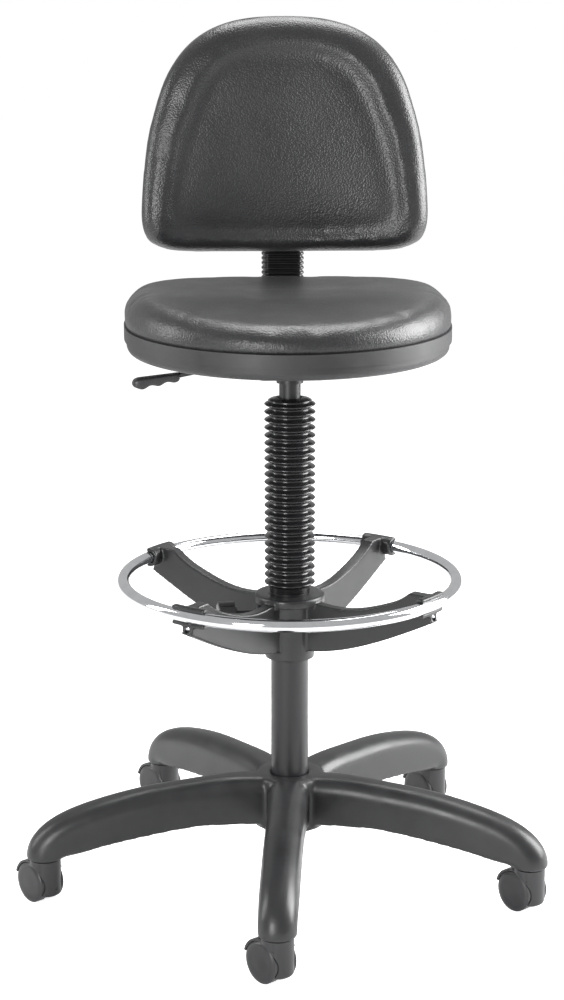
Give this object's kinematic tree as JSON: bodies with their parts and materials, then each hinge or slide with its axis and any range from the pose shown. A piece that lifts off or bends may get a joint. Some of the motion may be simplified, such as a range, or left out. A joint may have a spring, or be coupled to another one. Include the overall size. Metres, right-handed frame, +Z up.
{
  "type": "drafting chair",
  "caption": "Armless drafting chair: padded vinyl seat and arched back, gas-lift column with bellows, clamp-on foot ring, star base on hooded twin-wheel casters.",
  "frame": {"origin": "on the floor, on the axis of the gas-lift column", "axes": "+Z up along the column, the seat faces -Y, +X to the right when looking at the front of the chair along +Y"},
  "size_m": [0.7021, 0.6904, 1.146],
  "materials": {
    "nylon_base": "moulded, satin",
    "black_steel": "satin black paint",
    "bush_plastic": "moulded",
    "bright_steel": "zinc plated",
    "rubber": "matt",
    "bellows_plastic": "glossy",
    "chrome": "polished",
    "spider_plastic": "fine texture",
    "knob_plastic": "fine texture",
    "vinyl": "pebbled vinyl, soft gloss",
    "shell_plastic": "fine texture",
    "plywood": "raw",
    "caster_plastic": "moulded, satin",
    "wheel_nylon": "moulded, satin"
  },
  "bodies": {
    "base": {"star_base": "nylon_base", "column_tube": "black_steel", "guide_bush": "bush_plastic", "thrust_washers": "bright_steel", "thrust_balls": "bright_steel", "caster_stems": "bright_steel", "column_bellows": "bellows_plastic"},
    "lift_rod": {"piston_rod": "bright_steel", "rod_clip": "bright_steel", "bump_stop": "rubber", "piston": "bush_plastic", "piston_seal": "rubber"},
    "seat_unit": {"gas_cylinder": "black_steel", "cylinder_gland": "bush_plastic", "seat_mechanism": "black_steel", "lever_pin": "black_steel", "seat_pan": "shell_plastic", "seat_board": "plywood", "tee_nuts": "bright_steel", "seat_bolts": "bright_steel", "seat_cushion": "vinyl"},
    "valve": {"valve_pin": "bright_steel"},
    "lever": {"height_lever": "black_steel", "lever_handle": "knob_plastic"},
    "footring_unit": {"footring": "chrome", "footring_spider": "spider_plastic", "footring_screws": "bright_steel", "clamp_pad": "spider_plastic"},
    "footring_clamp": {"footring_knob": "knob_plastic"},
    "back_slide": {"back_bar": "black_steel", "back_bar_cover": "bellows_plastic"},
    "depth_clamp": {"back_depth_knob": "knob_plastic"},
    "back_unit": {"back_cushion": "vinyl", "back_board": "plywood", "back_shell": "shell_plastic", "back_bracket": "shell_plastic", "back_screws": "bright_steel"},
    "height_clamp": {"back_height_knob": "knob_plastic"},
    "caster_1": {"caster_hood_1": "caster_plastic", "caster_axle_1": "bright_steel"},
    "wheel_1_left": {"caster_wheel_1_left": "wheel_nylon"},
    "wheel_1_right": {"caster_wheel_1_right": "wheel_nylon"},
    "caster_2": {"caster_hood_2": "caster_plastic", "caster_axle_2": "bright_steel"},
    "wheel_2_left": {"caster_wheel_2_left": "wheel_nylon"},
    "wheel_2_right": {"caster_wheel_2_right": "wheel_nylon"},
    "caster_3": {"caster_hood_3": "caster_plastic", "caster_axle_3": "bright_steel"},
    "wheel_3_left": {"caster_wheel_3_left": "wheel_nylon"},
    "wheel_3_right": {"caster_wheel_3_right": "wheel_nylon"},
    "caster_4": {"caster_hood_4": "caster_plastic", "caster_axle_4": "bright_steel"},
    "wheel_4_left": {"caster_wheel_4_left": "wheel_nylon"},
    "wheel_4_right": {"caster_wheel_4_right": "wheel_nylon"},
    "caster_5": {"caster_hood_5": "caster_plastic", "caster_axle_5": "bright_steel"},
    "wheel_5_left": {"caster_wheel_5_left": "wheel_nylon"},
    "wheel_5_right": {"caster_wheel_5_right": "wheel_nylon"}
  },
  "joints": [
    {"name": "seat_swivel", "type": "hinge", "parent": "base", "child": "lift_rod", "pos_m": [0, 0, 0.08], "axis": [0, 0, 1], "continuous": true},
    {"name": "seat_lift", "type": "slide", "parent": "lift_rod", "child": "seat_unit", "axis": [0, 0, 1], "range_m": [-0.2, 0], "deforming": ["column_bellows"]},
    {"name": "lever_pull", "type": "hinge", "parent": "seat_unit", "child": "lever", "pos_m": [-0.03, -0.02, 0.7135], "axis": [0, 1, 0], "range_deg": [0, 5], "stiffness_Nm_per_rad": 3, "springref_deg": -8.59},
    {"name": "valve_press", "type": "slide", "parent": "seat_unit", "child": "valve", "axis": [0, 0, -1], "range_m": [0, 0.0027]},
    {"name": "footring_height", "type": "slide", "parent": "base", "child": "footring_unit", "axis": [0, 0, 1], "range_m": [-0.14, 0]},
    {"name": "footring_clamp_turn", "type": "hinge", "parent": "footring_unit", "child": "footring_clamp", "pos_m": [0, 0, 0.375], "axis": [-0.991, -0.134, 0], "continuous": true},
    {"name": "back_depth", "type": "slide", "parent": "seat_unit", "child": "back_slide", "axis": [0, 1, 0], "range_m": [0, 0.05]},
    {"name": "depth_clamp_turn", "type": "hinge", "parent": "seat_unit", "child": "depth_clamp", "pos_m": [0, 0.11, 0.7], "axis": [0, 0, 1], "continuous": true},
    {"name": "back_height", "type": "slide", "parent": "back_slide", "child": "back_unit", "axis": [0, 0, 1], "range_m": [0, 0.06]},
    {"name": "height_clamp_turn", "type": "hinge", "parent": "back_unit", "child": "height_clamp", "pos_m": [0, 0.26, 0.945], "axis": [0, 1, 0], "continuous": true},
    {"name": "caster_swivel_1", "type": "hinge", "parent": "base", "child": "caster_1", "pos_m": [-0.0287, -0.33477, 0.06], "axis": [0, 0, 1], "continuous": true},
    {"name": "wheel_spin_1_left", "type": "hinge", "parent": "caster_1", "child": "wheel_1_left", "pos_m": [-0.03609, -0.32596, 0.027], "axis": [0.766, 0.6428, 0], "continuous": true},
    {"name": "wheel_spin_1_right", "type": "hinge", "parent": "caster_1", "child": "wheel_1_right", "pos_m": [-0.03609, -0.32596, 0.027], "axis": [0.766, 0.6428, 0], "continuous": true},
    {"name": "caster_swivel_2", "type": "hinge", "parent": "base", "child": "caster_2", "pos_m": [0.30952, -0.13075, 0.06], "axis": [0, 0, 1], "continuous": true},
    {"name": "wheel_spin_2_left", "type": "hinge", "parent": "caster_2", "child": "wheel_2_left", "pos_m": [0.30213, -0.12194, 0.027], "axis": [0.766, 0.6428, 0], "continuous": true},
    {"name": "wheel_spin_2_right", "type": "hinge", "parent": "caster_2", "child": "wheel_2_right", "pos_m": [0.30213, -0.12194, 0.027], "axis": [0.766, 0.6428, 0], "continuous": true},
    {"name": "caster_swivel_3", "type": "hinge", "parent": "base", "child": "caster_3", "pos_m": [0.21999, 0.25397, 0.06], "axis": [0, 0, 1], "continuous": true},
    {"name": "wheel_spin_3_left", "type": "hinge", "parent": "caster_3", "child": "wheel_3_left", "pos_m": [0.2126, 0.26278, 0.027], "axis": [0.766, 0.6428, 0], "continuous": true},
    {"name": "wheel_spin_3_right", "type": "hinge", "parent": "caster_3", "child": "wheel_3_right", "pos_m": [0.2126, 0.26278, 0.027], "axis": [0.766, 0.6428, 0], "continuous": true},
    {"name": "caster_swivel_4", "type": "hinge", "parent": "base", "child": "caster_4", "pos_m": [-0.17355, 0.28771, 0.06], "axis": [0, 0, 1], "continuous": true},
    {"name": "wheel_spin_4_left", "type": "hinge", "parent": "caster_4", "child": "wheel_4_left", "pos_m": [-0.18095, 0.29651, 0.027], "axis": [0.766, 0.6428, 0], "continuous": true},
    {"name": "wheel_spin_4_right", "type": "hinge", "parent": "caster_4", "child": "wheel_4_right", "pos_m": [-0.18095, 0.29651, 0.027], "axis": [0.766, 0.6428, 0], "continuous": true},
    {"name": "caster_swivel_5", "type": "hinge", "parent": "base", "child": "caster_5", "pos_m": [-0.32726, -0.07616, 0.06], "axis": [0, 0, 1], "continuous": true},
    {"name": "wheel_spin_5_left", "type": "hinge", "parent": "caster_5", "child": "wheel_5_left", "pos_m": [-0.33465, -0.06735, 0.027], "axis": [0.766, 0.6428, 0], "continuous": true},
    {"name": "wheel_spin_5_right", "type": "hinge", "parent": "caster_5", "child": "wheel_5_right", "pos_m": [-0.33465, -0.06735, 0.027], "axis": [0.766, 0.6428, 0], "continuous": true}
  ],
  "couplings": [
    {"joint": "valve_press", "follows": "lever_pull", "m_per_rad": 0.03}
  ]
}
